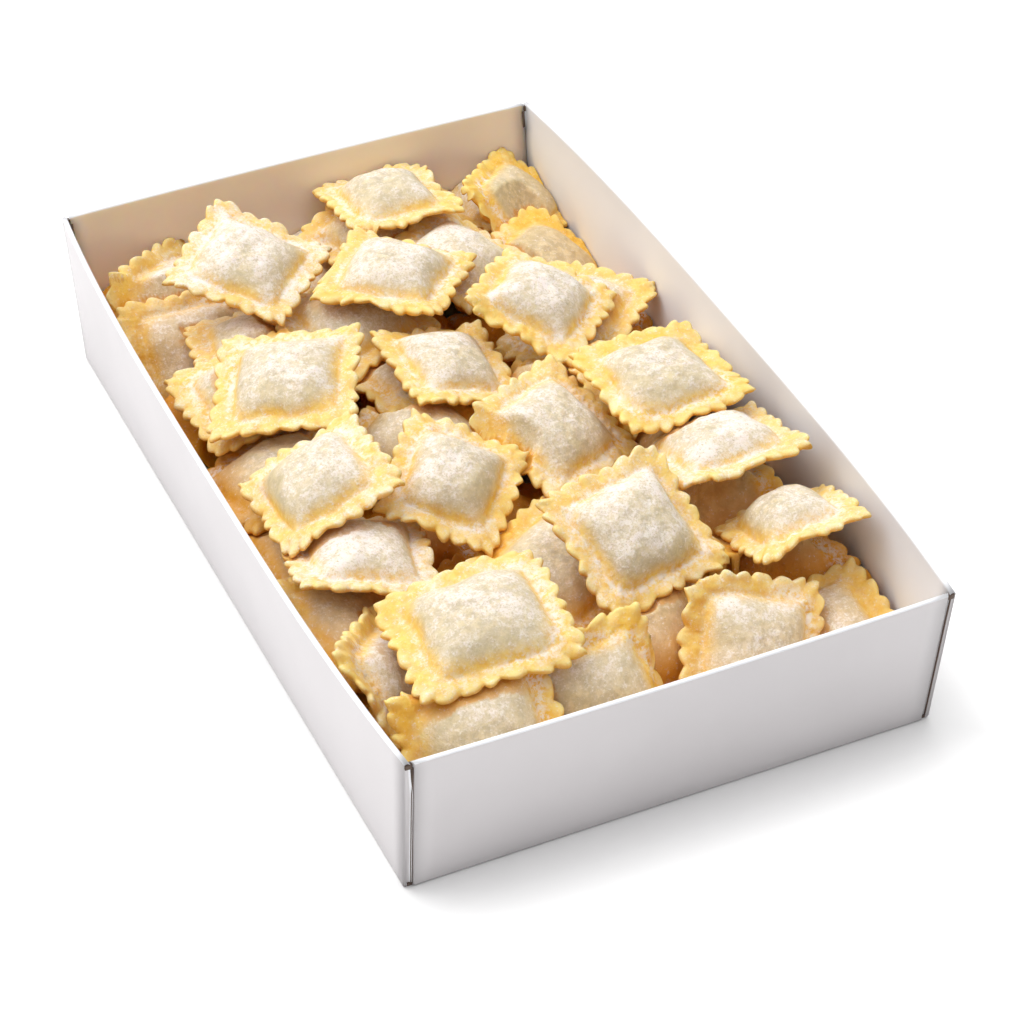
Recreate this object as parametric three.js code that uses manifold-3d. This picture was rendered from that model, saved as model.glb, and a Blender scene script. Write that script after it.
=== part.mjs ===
// An open white card box full of raw square ravioli.
// Millimetres, +Z up, +X to the right, +Y to the back. The origin is on the
// surface that the box stands on, under the middle of its outer size.
import * as THREE from 'three';
import { mergeVertices } from 'three/addons/utils/BufferGeometryUtils.js';
import Module from 'manifold-3d';

const wasm = await Module();
wasm.setup();

// Box: one folded card blank, whose walls are rolled over at the rim.
const boxHeight = 50.5;
const rimHalfWidth = 80.2;
const rimHalfLength = 139.4;
const footHalfWidth = 79.4;
const footHalfLength = 132.2;
const sideBow = 4.6; // the long walls belly out at the rim
const endBow = 1;
const bowPower = 3; // 2 would be a plain arc: 3 is blunter
const wallThickness = 2.4; // two layers with the fold between them
const floorThickness = 1.2;
const foldRound = 0.7; // the fold along the rim is round
const stripWidth = 2.4; // end of a side wall, seen beside the end panel
const stripDepth = 0.7; // how far it lies behind the end panel

// Ravioli: two sheets of dough pressed together round a filling and cut out
// with a fluted wheel.
const lobesPerSide = 7;
const lobeDepth = 0.85; // from the middle of the wave to a tip
const lobeUneven = 0.25; // share by which one lobe is larger or smaller than the next
const underCut = 0.5; // how far the lower face lies inside the notches
const sheetThickness = 2;
const rimWidth = 6.6;
const pillowHeight = 7.6;
const bellyDepth = 1.8; // the filling also bulges below
const outlineRoundness = 11; // powers of a rounded square: higher is squarer
const pillowRoundness = 5.5;
const crownRoundness = 2.6;
const shoulderReach = 0.82; // of the pillow's half width, and so for the next two
const crownReach = 0.48;
const bellyReach = 0.8;
const shoulderRise = 0.7; // of the ravioli's height over its middle, and so for the crown
const crownRise = 0.95;
const bellyRise = 0.75;
const creaseRise = 0.7; // of half the sheet: the sheets are pinched thin there
const pillowPoints = 16; // round the crease and the shoulder
const crownPoints = 8; // round the crown and the belly
const buriedLobesPerSide = 4; // fewer points on the ones that hardly show

// The slow bends of a sheet, in millimetres at its rim
const twistMost = 2.2;
const droop = 0.5;
const droopSpread = 0.7;
const wave = { high: 0.7, rounds: 3 };
const ripple = { high: 0.35, rounds: 7 };

// How the pieces lie against each other
const gap = 0.4;
const wallGap = 0.6;
const floorGap = 2.2; // leaves room for the heap's middle below
const pressLimit = 13; // how far a soft piece is bent down by one that lies on it
const step = 0.5;
const slide = new THREE.Vector3(0.5, 1.15, -1); // a piece let down slides to the back
const mapCell = 1;
const samplesPerCell = 1.3; // so that no cell under a triangle is missed
const shelter = 3; // a point stays below all that lies this near over it

// The heap's middle, where nothing shows
const coreCell = 11;
const coreLevel = 22;
const coreUneven = 2;
const coreThinnest = 1;
const coreSink = 1; // below what lies on it
const supportReach = 1;
const smallest = 0.05; // slivers left by joining the pieces go

// Colours
const cardWhite = 0xf2f1f0;
const doughYellow = 0xf0cf86;
const doughShaded = 0xd9a85c;

// Where each ravioli lies, from the top of the heap down: the middle of its sheet,
// how it leans about X and then about Y, how far it is turned, and its two sides.
const layout = [
  // Front, on top
  ['ravioli_01', -41.5, -97, 51.5, 7, -8, -3, 48.5, 43],
  ['ravioli_02', -57, -21.5, 51, -5, -24, 0, 40, 43],
  ['ravioli_03', -21, -32.5, 47.5, 18, 8, 51, 42, 38],
  ['ravioli_04', 52.5, -16, 49.5, 3, 2, 2, 42.5, 42.5],
  // Back, on top
  ['ravioli_05', -36, 90, 50.5, 10, 6, 46, 43, 42],
  ['ravioli_06', 3, 68, 48.5, -2, 6, 48, 43, 42],
  ['ravioli_07', -47.5, 29, 49.5, 1, -13, -27, 45, 44],
  // Middle
  ['ravioli_08', 14, -77.5, 49.5, 29, 6, 11, 43, 42],
  ['ravioli_09', 17.5, -18.5, 43.5, 19, 17, 26, 43, 41],
  ['ravioli_10', 39, 39, 46, 11, 16, 44, 43, 40],
  ['ravioli_11', 20, 114.5, 43.5, -10, 2, -1, 39, 43],
  ['ravioli_12', 55, -48.5, 45.5, -18, -3, -3, 43, 43],
  ['ravioli_13', 60.5, -81.5, 41, -25, -10, -4, 36, 40],
  ['ravioli_14', 3, 26, 41, 0, 14, -1, 38, 43],
  // Leaning against the front wall
  ['ravioli_15', 32.5, -114, 28, 50, 5, -19, 44, 43],
  ['ravioli_16', -50.5, -121, 31, 60, -6, 4, 46, 44],
  ['ravioli_17', -16, -116, 28.5, 60, -8, 8, 44, 44],
  // Lower, down the left side
  ['ravioli_18', -55, -45, 41, -7, 9, -12, 42, 44],
  ['ravioli_19', -62, -88.5, 29, 24, 50, 32, 43, 43],
  ['ravioli_20', -53, 43, 38, 2, -7, 3, 44, 44],
  // Lower, in the back right corner
  ['ravioli_24', 30, 83, 36.5, 5, 10, 30, 42, 42],
  ['ravioli_25', 57, 0.5, 38.5, 0, 0, -5, 44, 44],
  ['ravioli_26', 54, 47, 31, 5, -18, 40, 42, 42],
  ['ravioli_27', 62, 83.5, 27, 10, 17, 35, 42, 40],
  ['ravioli_28', 65.5, 113.5, 31, 17, 25, 40, 40, 36],
  ['ravioli_29', 61, 125, 22.5, 0, 20, -5, 38, 38],
  // Lower, at the back left
  ['ravioli_32', -12, 67, 36, 2, 5, 20, 44, 44],
  ['ravioli_21', -40, 71, 33.5, -3, -3, -9, 44, 44],
  ['ravioli_33', -4, 43.5, 31, -5, 8, 15, 44, 44],
  ['ravioli_22', -54, 93, 18.5, 40, 5, -3, 44, 44],
  ['ravioli_23', -52, 112, 24, 29, 33, 25, 44, 44],
  ['ravioli_30', 17, 110.5, 35, 12, -5, 26, 44, 44],
  ['ravioli_34', -3.5, 122, 21, 0, 0, 30, 44, 44],
  // In the front right corner
  ['ravioli_31', 57, -112, 18, 18, -25, 5, 44, 44],
];

// The ones that show only in gaps, which are one solid with the heap's middle.
const buried = [
  [-3, -67, 35, 10, 0, 30, 44, 44],
  [8, -98, 29, 30, 0, 0, 44, 44],
  [48, -61, 36, 5, 0, 10, 44, 44],
  [54, -90, 28, 20, 0, 20, 44, 44],
  [-62, -60, 28, 10, 25, 10, 44, 44],
  [-58, 8, 33, -5, -10, 10, 44, 44],
  [-62, -25, 28, 0, 15, 0, 44, 44],
  [-16, 4, 34, 10, 0, 40, 44, 44],
  [40, -30, 35, 0, 0, 20, 44, 44],
  [22, 8, 33, 5, 5, 0, 44, 44],
  [42, 98, 24, 20, 10, 30, 44, 44],
];

// A number from 0 to 1 that is always the same for one piece and one use.
function chance(piece, use) {
  const wave = Math.sin(piece * 12.9898 + use * 78.233) * 43758.5453;
  return wave - Math.floor(wave);
}

const spread = (piece, use, most) => (chance(piece, use) * 2 - 1) * most;

const fullTurn = 2 * Math.PI;

const keyAfter = (ring, i) => (i + 1 < ring.length ? ring[i + 1].key : 1 + ring[0].key);

// A closed mesh, built from rings. A ring is a closed loop of points, each with a key
// from 0 to 1 that says how far round it lies, so that rings of any counts can be joined.
class Shell {
  constructor() {
    this.positions = [];
    this.triangles = [];
  }

  point({ at }) {
    this.positions.push(...at);
    return this.positions.length / 3 - 1;
  }

  ring(points) {
    return points.map((point) => ({ index: this.point(point), key: point.key }));
  }

  // Joins two rings that run anticlockwise, the lower or outer one of an upward face first.
  join(low, high) {
    let i = 0;
    let j = 0;
    while (i < low.length || j < high.length) {
      const a = low[i % low.length].index;
      const b = high[j % high.length].index;
      const nextLow = i < low.length ? keyAfter(low, i) : Infinity;
      const nextHigh = j < high.length ? keyAfter(high, j) : Infinity;
      if (nextLow <= nextHigh) {
        this.triangles.push(a, low[(i + 1) % low.length].index, b);
        i += 1;
      } else {
        this.triangles.push(a, high[(j + 1) % high.length].index, b);
        j += 1;
      }
    }
  }

  // Closes a ring with a fan to one point, on the side that sees the ring anticlockwise.
  fan(ring, tip) {
    ring.forEach((here, i) => {
      this.triangles.push(here.index, ring[(i + 1) % ring.length].index, tip);
    });
  }

  // Closes a flat ring with as few triangles as it needs.
  cap(ring, facesUp) {
    const outline = ring.map(({ index }) => new THREE.Vector2(
      this.positions[index * 3],
      this.positions[index * 3 + 1],
    ));
    THREE.ShapeUtils.triangulateShape(outline, []).forEach(([a, b, c]) => {
      const [p, q, r] = [ring[a].index, ring[b].index, ring[c].index];
      this.triangles.push(...(facesUp ? [p, q, r] : [p, r, q]));
    });
  }

  geometry() {
    const geometry = new THREE.BufferGeometry();
    geometry.setAttribute('position', new THREE.Float32BufferAttribute(this.positions, 3));
    geometry.setIndex(this.triangles);
    return geometry;
  }
}

// Half sizes of the box's outer face at one height, and how much its walls belly out.
function boxSize(z) {
  const rise = z / boxHeight;
  return {
    halfWidth: THREE.MathUtils.lerp(footHalfWidth, rimHalfWidth, rise),
    halfLength: THREE.MathUtils.lerp(footHalfLength, rimHalfLength, rise),
    side: sideBow * rise,
    end: endBow * rise,
  };
}

const sideShape = (along) => 1 - Math.abs(along) ** bowPower;
const endShape = (along) => 1 - along ** 2;

// Plan of the box at one height. inset moves the outline into the card. The outer
// face has a narrow strip set back at each end of the end panels.
function boxOutline(z, inset, withStrips) {
  const { halfWidth, halfLength, side, end } = boxSize(z);
  const sideSteps = 12;
  const endSteps = 4;
  // shares of the way round, for the keys: half of it is a side, a strip, an end and a strip
  const sideKeys = 0.3;
  const stripKeys = 0.01;
  const endKeys = 0.5 - sideKeys - 4 * stripKeys;
  const width = halfWidth - inset;
  const length = halfLength - inset;
  const sideLength = withStrips ? length - stripDepth : length;
  const endWidth = withStrips ? width - stripWidth : width;
  const half = [];
  for (let i = 0; i <= sideSteps; i += 1) {
    const along = (2 * i) / sideSteps - 1;
    half.push([width + side * sideShape(along), along * sideLength, sideKeys * (i / sideSteps)]);
  }
  if (withStrips) half.push([endWidth, sideLength, sideKeys + stripKeys]);
  const [first, last] = withStrips ? [0, endSteps] : [1, endSteps - 1];
  for (let i = first; i <= last; i += 1) {
    const along = 1 - (2 * i) / endSteps;
    const key = sideKeys + 2 * stripKeys + endKeys * (i / endSteps);
    half.push([along * endWidth, length + end * endShape(along), key]);
  }
  if (withStrips) half.push([-endWidth, sideLength, 0.5 - stripKeys]);
  return [
    ...half.map(([x, y, key]) => ({ at: [x, y, z], key })),
    ...half.map(([x, y, key]) => ({ at: [-x, -y, z], key: key + 0.5 })),
  ];
}

function boxGeometry() {
  const shell = new Shell();
  const shoulder = boxHeight - foldRound;
  const foot = shell.ring(boxOutline(0, 0, true));
  const outside = shell.ring(boxOutline(shoulder, 0, true));
  const crestOutside = shell.ring(boxOutline(boxHeight, foldRound, true));
  const crestInside = shell.ring(boxOutline(boxHeight, wallThickness - foldRound, false));
  const inside = shell.ring(boxOutline(shoulder, wallThickness, false));
  const floor = shell.ring(boxOutline(floorThickness, wallThickness, false));
  shell.cap(foot, false);
  shell.join(foot, outside);
  shell.join(outside, crestOutside);
  shell.join(crestOutside, crestInside);
  shell.join(crestInside, inside);
  shell.join(inside, floor);
  shell.cap(floor, true);
  return shell.geometry();
}

// Moves a point that would be in a wall or the floor to just inside the box.
function keepInBox(point) {
  const z = Math.max(point.z, floorThickness + floorGap);
  const { halfWidth, halfLength, side, end } = boxSize(Math.min(z, boxHeight));
  const inset = wallThickness + wallGap;
  const sideLimit = halfWidth - inset + side * sideShape(Math.min(1, Math.abs(point.y) / halfLength));
  const endLimit = halfLength - inset + end * endShape(Math.min(1, Math.abs(point.x) / halfWidth));
  point.x = THREE.MathUtils.clamp(point.x, -sideLimit, sideLimit);
  point.y = THREE.MathUtils.clamp(point.y, -endLimit, endLimit);
  point.z = z;
}

// A point on a rounded square of half side 1, at a share of the way round from
// the corner at +X +Y, anticlockwise.
function onSquare(share, power) {
  const corners = [[1, 1], [-1, 1], [-1, -1], [1, -1], [1, 1]];
  const side = Math.floor(share * 4);
  const along = share * 4 - side;
  const x = THREE.MathUtils.lerp(corners[side][0], corners[side + 1][0], along);
  const y = THREE.MathUtils.lerp(corners[side][1], corners[side + 1][1], along);
  const size = (Math.abs(x) ** power + Math.abs(y) ** power) ** (1 / power);
  return [x / size, y / size];
}

// The slow bends of one sheet: a twist, a droop or lift of its rim and a wave round it.
function sheetBend(piece, x, y) {
  const distance = x * x + y * y;
  const round = Math.atan2(y, x);
  const twisted = spread(piece, 1, twistMost) * x * y;
  const drooped = (spread(piece, 2, droopSpread) - droop) * distance;
  const waved = ({ high, rounds }, use) => (
    high * distance * Math.sin(rounds * round + chance(piece, use) * fullTurn));
  return twisted + drooped + waved(wave, 3) + waved(ripple, 4);
}

// The shape of one ravioli, as rings of points in its own frame, pillow up. Each point
// also holds the height of the ravioli's upper face at its place.
function ravioliRings(piece, wide, long, lobes) {
  const halfWide = wide / 2;
  const halfLong = long / 2;
  const half = (halfWide + halfLong) / 2;
  const pillowShare = (half - rimWidth) / half;
  const rimShare = 1 - lobeDepth / half;
  const top = sheetThickness / 2;
  const full = top + pillowHeight;
  const creaseZ = top * creaseRise;
  const shoulderZ = full * shoulderRise;
  const crownZ = full * crownRise;
  const bellyZ = -top - bellyDepth * bellyRise;
  const ring = (count, reach, power, z, upper, outward = () => 0) => (
    Array.from({ length: count }, (_, i) => {
      const share = i / count;
      const [x, y] = onSquare(share, power);
      const grow = reach * (1 + outward(i) / (half * Math.hypot(x, y)));
      const bend = sheetBend(piece, x * grow, y * grow);
      const at = [x * grow * halfWide, y * grow * halfLong, z + bend];
      return { at, key: share, upper: upper + bend };
    })
  );
  const lobe = (i) => lobeDepth * (1 + spread(piece, 10 + i, lobeUneven)) * (i % 2 ? -1 : 1);
  const notch = () => -lobeDepth - underCut;
  return {
    edge: ring(lobes * 8, rimShare, outlineRoundness, top, top, lobe),
    underEdge: ring(lobes * 4, rimShare, outlineRoundness, -top, top, notch),
    crease: ring(pillowPoints, pillowShare, pillowRoundness, creaseZ, creaseZ),
    shoulder: ring(pillowPoints, pillowShare * shoulderReach, pillowRoundness, shoulderZ, shoulderZ),
    crown: ring(crownPoints, pillowShare * crownReach, crownRoundness, crownZ, crownZ),
    summit: { at: [0, 0, full], upper: full },
    belly: ring(crownPoints, pillowShare * bellyReach, pillowRoundness, bellyZ, shoulderZ),
    lowest: { at: [0, 0, -top - bellyDepth], upper: full },
  };
}

// Joins the rings of one ravioli to a closed solid.
function ravioliGeometry(rings) {
  const shell = new Shell();
  const made = Object.fromEntries(Object.entries(rings).map(([name, ring]) => (
    [name, Array.isArray(ring) ? shell.ring(ring) : shell.point(ring)])));
  shell.join(made.underEdge, made.edge);
  shell.join(made.edge, made.crease);
  shell.join(made.crease, made.shoulder);
  shell.join(made.shoulder, made.crown);
  shell.fan(made.crown, made.summit);
  shell.join(made.belly, made.underEdge);
  shell.fan(made.belly.slice().reverse(), made.lowest);
  return shell.geometry();
}

// A map of heights over the plan of the box, in square cells. pick says which of two
// heights a cell keeps.
class HeightMap {
  constructor(pick, empty) {
    this.pick = pick;
    this.empty = empty;
    this.cells = new Map();
  }

  mark(x, y, z) {
    const key = `${Math.round(x / mapCell)},${Math.round(y / mapCell)}`;
    this.cells.set(key, this.pick(this.cells.get(key) ?? this.empty, z));
  }

  // Marks every place under or over a mesh, by points spread over its triangles.
  markMesh(mesh, lift = 0) {
    const { index, attributes } = mesh.geometry;
    const corner = (i) => new THREE.Vector3()
      .fromBufferAttribute(attributes.position, index.getX(i))
      .applyMatrix4(mesh.matrixWorld);
    for (let i = 0; i < index.count; i += 3) {
      const [a, b, c] = [corner(i), corner(i + 1), corner(i + 2)];
      const size = Math.max(a.distanceTo(b), b.distanceTo(c), c.distanceTo(a));
      const steps = Math.ceil((size * samplesPerCell) / mapCell);
      for (let u = 0; u <= steps; u += 1) {
        for (let v = 0; v <= steps - u; v += 1) {
          const w = steps - u - v;
          const at = (axis) => (a[axis] * u + b[axis] * v + c[axis] * w) / steps;
          this.mark(at('x'), at('y'), at('z') + lift);
        }
      }
    }
  }

  // The height that holds within some distance of a place.
  near(x, y, reach) {
    const cells = Math.ceil(reach / mapCell);
    const [column, row] = [Math.round(x / mapCell), Math.round(y / mapCell)];
    let height = this.empty;
    for (let i = -cells; i <= cells; i += 1) {
      for (let j = -cells; j <= cells; j += 1) {
        const here = this.cells.get(`${column + i},${row + j}`);
        if (here !== undefined) height = this.pick(height, here);
      }
    }
    return height;
  }
}

// A mesh as a solid in the box's frame, moved up by lift.
function solidOf(mesh, lift = 0) {
  const geometry = mesh.geometry.clone().applyMatrix4(mesh.matrixWorld).translate(0, 0, lift);
  const merged = mergeVertices(geometry);
  return new wasm.Manifold(new wasm.Mesh({
    numProp: 3,
    vertProperties: merged.attributes.position.array,
    triVerts: new Uint32Array(merged.index.array),
  }));
}

function geometryOf(solid) {
  const { vertProperties, triVerts } = solid.getMesh();
  const geometry = new THREE.BufferGeometry();
  geometry.setAttribute('position', new THREE.BufferAttribute(vertProperties, 3));
  geometry.setIndex(new THREE.BufferAttribute(triVerts, 1));
  return geometry;
}

const ceiling = new HeightMap(Math.min, Infinity); // underside of what is already placed
const placed = [];

// Bends a soft piece down under what lies on it and in from the walls of the box.
// Returns the bent rings, and how far the worst point had to go down.
function pressed(rings, mesh) {
  const toOwn = mesh.matrixWorld.clone().invert();
  let most = 0;
  const bend = ({ at, key, upper }) => {
    const face = new THREE.Vector3(at[0], at[1], upper).applyMatrix4(mesh.matrixWorld);
    const down = Math.max(0, face.z + gap - ceiling.near(face.x, face.y, shelter));
    most = Math.max(most, down);
    const point = new THREE.Vector3(...at).applyMatrix4(mesh.matrixWorld);
    point.z -= down;
    keepInBox(point);
    return { at: point.applyMatrix4(toOwn).toArray(), key };
  };
  const bent = Object.fromEntries(Object.entries(rings).map(([name, ring]) => (
    [name, Array.isArray(ring) ? ring.map(bend) : bend(ring)])));
  return { bent, most };
}

const touches = (mesh) => [gap, 0].some((lift) => {
  const solid = solidOf(mesh, lift);
  const hit = placed.some((other) => solid.intersect(other).volume() > 0);
  solid.delete();
  return hit;
});

// Lets one ravioli down in small steps until it fits under those that lie on it.
function settle(mesh, rings) {
  for (;;) {
    mesh.updateMatrixWorld(true);
    const { bent, most } = pressed(rings, mesh);
    if (most <= pressLimit) {
      mesh.geometry = ravioliGeometry(bent);
      if (!touches(mesh)) break;
    }
    mesh.position.addScaledVector(slide, step);
  }
  placed.push(solidOf(mesh));
}

function layRavioli([x, y, z, leanX, leanY, turn, wide, long], lobes, material) {
  const mesh = new THREE.Mesh(undefined, material);
  mesh.position.set(x, y, z);
  mesh.rotation.set(...[leanX, leanY, turn].map(THREE.MathUtils.degToRad));
  settle(mesh, ravioliRings(placed.length + 1, wide, long, lobes));
  return mesh;
}

// The heap's middle: a block inside the box, with an uneven top that stays under
// everything that lies on it, and rises to the buried ravioli so that they join it.
function coreGeometry(support) {
  const base = floorThickness + gap;
  const { halfWidth, halfLength } = boxSize(base);
  const reachX = halfWidth - wallThickness - wallGap;
  const reachY = halfLength - wallThickness - wallGap;
  const columns = Math.round((2 * reachX) / coreCell);
  const rows = Math.round((2 * reachY) / coreCell);
  const shell = new Shell();
  const node = (i, j, isTop) => {
    const x = -reachX + (2 * reachX * i) / columns;
    const y = -reachY + (2 * reachY * j) / rows;
    const level = Math.max(coreLevel + spread(i, j, coreUneven), support.near(x, y, supportReach));
    const roof = ceiling.near(x, y, coreCell) - coreSink;
    const z = isTop ? Math.max(base + coreThinnest, Math.min(level, roof)) : base;
    return shell.point({ at: [x, y, z] });
  };
  const border = [];
  for (let i = 0; i < columns; i += 1) border.push([i, 0]);
  for (let j = 0; j < rows; j += 1) border.push([columns, j]);
  for (let i = columns; i > 0; i -= 1) border.push([i, rows]);
  for (let j = rows; j > 0; j -= 1) border.push([0, j]);
  const top = Array.from({ length: columns + 1 }, (_, i) => (
    Array.from({ length: rows + 1 }, (__, j) => node(i, j, true))));
  for (let i = 0; i < columns; i += 1) {
    for (let j = 0; j < rows; j += 1) {
      const [a, b, c, d] = [top[i][j], top[i + 1][j], top[i + 1][j + 1], top[i][j + 1]];
      shell.triangles.push(a, b, c, a, c, d);
    }
  }
  const along = (i, j) => border.findIndex(([column, row]) => column === i && row === j) / border.length;
  const foot = border.map(([i, j]) => ({ index: node(i, j, false), key: along(i, j) }));
  const rim = border.map(([i, j]) => ({ index: top[i][j], key: along(i, j) }));
  shell.join(foot, rim);
  shell.cap(foot, false);
  return shell.geometry();
}

function plainMaterial(color, roughness) {
  return new THREE.MeshStandardMaterial({ color, roughness, metalness: 0 });
}

const group = new THREE.Group();
const card = plainMaterial(cardWhite, 0.5);
const dough = plainMaterial(doughYellow, 0.85);
const shadedDough = plainMaterial(doughShaded, 0.9);

const box = new THREE.Mesh(boxGeometry(), card);
box.name = 'card_box';
group.add(box);

for (const [name, ...place] of layout) {
  const mesh = layRavioli(place, lobesPerSide, dough);
  mesh.name = name;
  ceiling.markMesh(mesh);
  group.add(mesh);
}

const support = new HeightMap((kept, z) => (kept === -Infinity ? z : Math.min(kept, z)), -Infinity);
const buriedSolids = [];
for (const place of buried) {
  const mesh = layRavioli(place, buriedLobesPerSide, shadedDough);
  support.markMesh(mesh, sheetThickness);
  buriedSolids.push(solidOf(mesh));
}
const core = new THREE.Mesh(coreGeometry(support), shadedDough);
core.updateMatrixWorld(true);
const heap = buriedSolids.reduce((whole, solid) => whole.add(solid), solidOf(core))
  .asOriginal()
  .simplify(smallest);
const lowerHeap = new THREE.Mesh(geometryOf(heap), shadedDough);
lowerHeap.name = 'lower_ravioli';
group.add(lowerHeap);

export default group;
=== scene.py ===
"""An open white card box full of raw square ravioli, dusted with flour.

Shapes are worked out in millimetres, in the frame of the solids, and turned to
metres when a mesh is made. Each ravioli lies where its solid lies.
"""

import math

import bmesh
import bpy
import numpy as np
from mathutils import Matrix, Vector


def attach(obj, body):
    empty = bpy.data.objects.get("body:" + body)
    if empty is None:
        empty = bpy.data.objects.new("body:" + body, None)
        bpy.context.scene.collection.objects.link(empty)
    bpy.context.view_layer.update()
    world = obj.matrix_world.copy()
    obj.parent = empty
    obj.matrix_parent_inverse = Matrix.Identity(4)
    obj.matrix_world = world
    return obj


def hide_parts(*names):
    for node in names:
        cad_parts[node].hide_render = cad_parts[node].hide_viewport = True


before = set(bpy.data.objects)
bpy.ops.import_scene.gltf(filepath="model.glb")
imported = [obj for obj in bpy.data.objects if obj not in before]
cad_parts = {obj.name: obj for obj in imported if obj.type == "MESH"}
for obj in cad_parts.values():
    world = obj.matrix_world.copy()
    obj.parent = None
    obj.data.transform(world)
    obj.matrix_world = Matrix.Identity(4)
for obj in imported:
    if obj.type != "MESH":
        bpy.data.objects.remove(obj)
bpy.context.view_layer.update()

MM = 0.001

# The box: a folded card blank whose walls are rolled over at the rim
BOX_HEIGHT = 50.5
RIM_HALF_WIDTH = 80.2
RIM_HALF_LENGTH = 139.4
FOOT_HALF_WIDTH = 79.4
FOOT_HALF_LENGTH = 132.2
SIDE_BOW = 4.6
END_BOW = 1.0
BOW_POWER = 3
WALL = 2.4
RIM_WALL = 1.7
FLOOR = 1.2
STRIP_WIDTH = 2.4
STRIP_DEPTH = 0.7
PANEL_GAP = 0.35

# One ravioli: two sheets of dough pressed round a filling and cut with a fluted wheel
LOBES = 7
LOBE_DEPTH = 0.85
SHEET = 2.0
RIM_WIDTH = 6.6
PILLOW_HEIGHT = 7.6
BELLY_DEPTH = 1.8
OUTLINE_ROUNDNESS = 11
PILLOW_ROUNDNESS = 5.5
DOME_POWER = 3.0
DOME_FULLNESS = 0.8
FULLNESS, FULLNESS_SPREAD = 0.89, 0.08

# The two that are folded into the back right corner are flatter and have less flour
FOLDED = (24, 25)
FOLDED_FULLNESS = 0.45
FOLDED_DUSTING = 0.25

# The slow bends of a sheet at its rim, the same as the solid's
TWIST = 2.2
DROOP = 0.5
DROOP_SPREAD = 0.7
WAVE, WAVE_ROUNDS = 0.7, 3
RIPPLE, RIPPLE_ROUNDS = 0.35, 7

# How the pieces lie against each other
GAP = 0.3
WALL_GAP = 0.5
FLOOR_GAP = 2.2
MAP_CELL = 0.5
MAP_HALF_WIDTH = 90
MAP_HALF_LENGTH = 150

# How steeply and how far out a ravioli is held down round the one that lies on it,
# and how near that one keeps flour off and puts painted shade under it
DRAPE_SLOPE = 1.2
DRAPE_REACH = 6
SHELTER_REACH = 8

# Grid cells along each lobe: of the ravioli that show, of those in the gaps and below
TOP_CELLS, GAP_CELLS, DEEP_CELLS = 10, 8, 5

# Heights between which the dough passes from its painted shade colour to its lit colour
SHADED_BELOW, LIT_ABOVE = 24, 44

# Where each ravioli lies, from the top of the heap down: the middle of its sheet,
# how it leans about X and then about Y, how far it is turned, and its two sides.
LAYOUT = [
    ("ravioli_01", -41.5, -97, 51.5, 7, -8, -3, 48.5, 43),
    ("ravioli_02", -57, -21.5, 51, -5, -24, 0, 40, 43),
    ("ravioli_03", -21, -32.5, 47.5, 18, 8, 51, 42, 38),
    ("ravioli_04", 52.5, -16, 49.5, 3, 2, 2, 42.5, 42.5),
    ("ravioli_05", -36, 90, 50.5, 10, 6, 46, 43, 42),
    ("ravioli_06", 3, 68, 48.5, -2, 6, 48, 43, 42),
    ("ravioli_07", -47.5, 29, 49.5, 1, -13, -27, 45, 44),
    ("ravioli_08", 14, -77.5, 49.5, 29, 6, 11, 43, 42),
    ("ravioli_09", 17.5, -18.5, 43.5, 19, 17, 26, 43, 41),
    ("ravioli_10", 39, 39, 46, 11, 16, 44, 43, 40),
    ("ravioli_11", 20, 114.5, 43.5, -10, 2, -1, 39, 43),
    ("ravioli_12", 55, -48.5, 45.5, -18, -3, -3, 43, 43),
    ("ravioli_13", 60.5, -81.5, 41, -25, -10, -4, 36, 40),
    ("ravioli_14", 3, 26, 41, 0, 14, -1, 38, 43),
    ("ravioli_15", 32.5, -114, 28, 50, 5, -19, 44, 43),
    ("ravioli_16", -50.5, -121, 31, 60, -6, 4, 46, 44),
    ("ravioli_17", -16, -116, 28.5, 60, -8, 8, 44, 44),
    ("ravioli_18", -55, -45, 41, -7, 9, -12, 42, 44),
    ("ravioli_19", -62, -88.5, 29, 24, 50, 32, 43, 43),
    ("ravioli_20", -53, 43, 38, 2, -7, 3, 44, 44),
    ("ravioli_24", 30, 83, 36.5, 5, 10, 30, 42, 42),
    ("ravioli_25", 57, 0.5, 38.5, 0, 0, -5, 44, 44),
    ("ravioli_26", 54, 47, 31, 5, -18, 40, 42, 42),
    ("ravioli_27", 62, 83.5, 27, 10, 17, 35, 42, 40),
    ("ravioli_28", 65.5, 113.5, 31, 17, 25, 40, 40, 36),
    ("ravioli_29", 61, 125, 22.5, 0, 20, -5, 38, 38),
    ("ravioli_32", -12, 67, 36, 2, 5, 20, 44, 44),
    ("ravioli_21", -40, 71, 33.5, -3, -3, -9, 44, 44),
    ("ravioli_33", -4, 43.5, 31, -5, 8, 15, 44, 44),
    ("ravioli_22", -54, 93, 18.5, 40, 5, -3, 44, 44),
    ("ravioli_23", -52, 112, 24, 29, 33, 25, 44, 44),
    ("ravioli_30", 17, 110.5, 35, 12, -5, 26, 44, 44),
    ("ravioli_34", -3.5, 122, 21, 0, 0, 30, 44, 44),
    ("ravioli_31", 57, -112, 18, 18, -25, 5, 44, 44),
]

# The ones that show only in the gaps between those
BURIED = [
    (-3, -67, 35, 10, 0, 30, 44, 44),
    (8, -98, 29, 30, 0, 0, 44, 44),
    (48, -61, 36, 5, 0, 10, 44, 44),
    (54, -90, 28, 20, 0, 20, 44, 44),
    (-62, -60, 28, 10, 25, 10, 44, 44),
    (-58, 8, 33, -5, -10, 10, 44, 44),
    (-62, -25, 28, 0, 15, 0, 44, 44),
    (-16, 4, 34, 10, 0, 40, 44, 44),
    (40, -30, 35, 0, 0, 20, 44, 44),
    (22, 8, 33, 5, 5, 0, 44, 44),
    (42, 98, 24, 20, 10, 30, 44, 44),
]


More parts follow.
